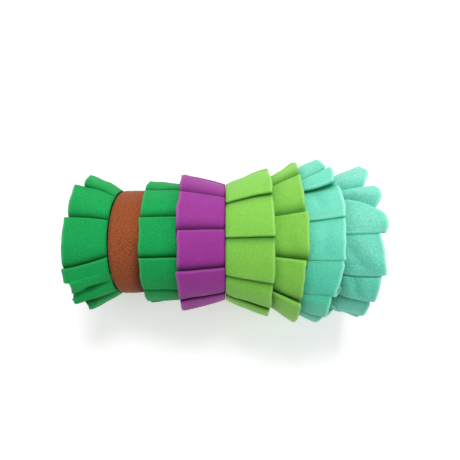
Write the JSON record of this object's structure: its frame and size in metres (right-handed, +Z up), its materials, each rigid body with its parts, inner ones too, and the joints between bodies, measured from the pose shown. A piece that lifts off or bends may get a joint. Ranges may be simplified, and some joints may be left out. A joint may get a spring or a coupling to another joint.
{
  "type": "rolled snuffle mat",
  "caption": "Fabric snuffle mat rolled into a bundle, with rows of knife-pleated fleece ruffles round the outside and flared at both ends.",
  "frame": {"origin": "middle of the overall box, on the floor the roll lies on", "axes": "+X along the roll axis towards the mint end, +Z up, +Y to the side that is at the top of the picture"},
  "size_m": [0.311, 0.176, 0.1504],
  "materials": {
    "base_cloth": "brown brushed cloth with a fine diagonal nap",
    "fleece_green": "matt green polar fleece",
    "fleece_purple": "matt purple polar fleece",
    "fleece_lime": "matt lime polar fleece",
    "fleece_mint": "matt mint polar fleece"
  },
  "bodies": {
    "root": {"base_roll": "base_cloth", "ruffle_green_end": "fleece_green", "ruffle_green_2": "fleece_green", "ruffle_purple": "fleece_purple", "ruffle_lime_2": "fleece_lime", "ruffle_lime_1": "fleece_lime", "ruffle_mint_a": "fleece_mint", "ruffle_mint_b": "fleece_mint"}
  },
  "joints": []
}
